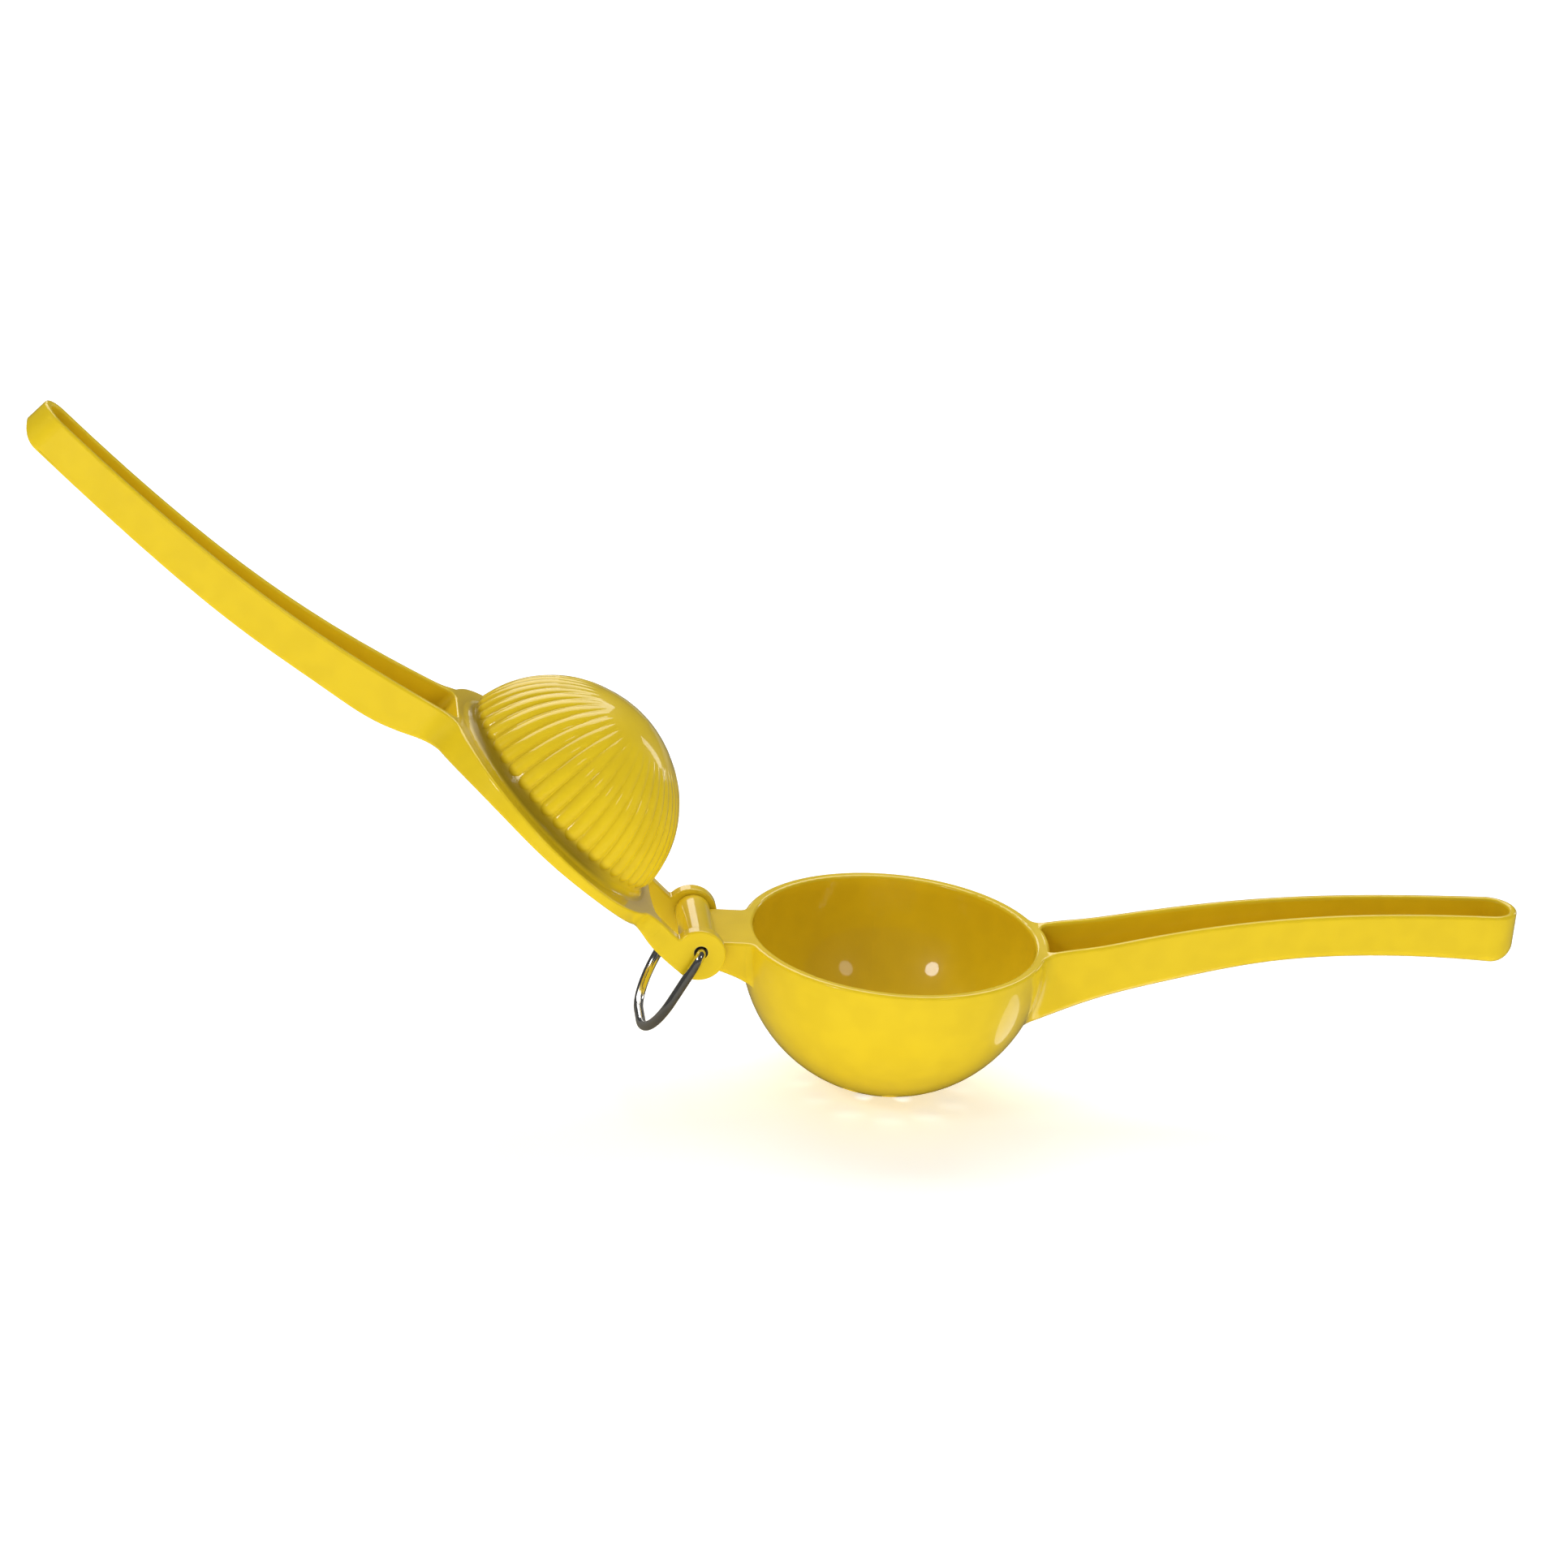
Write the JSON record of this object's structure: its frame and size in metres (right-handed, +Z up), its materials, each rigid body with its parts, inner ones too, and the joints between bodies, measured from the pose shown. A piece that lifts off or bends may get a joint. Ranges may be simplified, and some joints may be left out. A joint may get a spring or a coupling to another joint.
{
  "type": "hinged lemon squeezer",
  "caption": "Hand-held hinged citrus squeezer: fluted dome pressing into a drained cup, two cast channel handles, a split hinge pin and a wire hanging loop.",
  "frame": {"origin": "centre of the cup's mouth, in the plane of its rim", "axes": "+X along the lower handle away from the hinge, +Y along the hinge pin, +Z up out of the cup"},
  "size_m": [0.3726, 0.0758, 0.1656],
  "materials": {
    "enamel": "glossy lemon-yellow enamel over cast aluminium",
    "pin_steel": "plain rolled spring steel",
    "wire_steel": "polished stainless wire"
  },
  "bodies": {
    "lower": {"cup_arm": "enamel"},
    "press": {"press_arm": "enamel", "hinge_pin": "pin_steel"},
    "loop": {"hanging_bail": "wire_steel"}
  },
  "joints": [
    {"name": "press_hinge", "type": "hinge", "parent": "lower", "child": "press", "pos_m": [-0.0494, 0, -0.0011], "axis": [0, 1, 0], "range_deg": [-42.5, 137.5]},
    {"name": "loop_hinge", "type": "hinge", "parent": "lower", "child": "loop", "pos_m": [-0.0494, 0, -0.0011], "axis": [0, 1, 0], "range_deg": [-50, 32]}
  ]
}
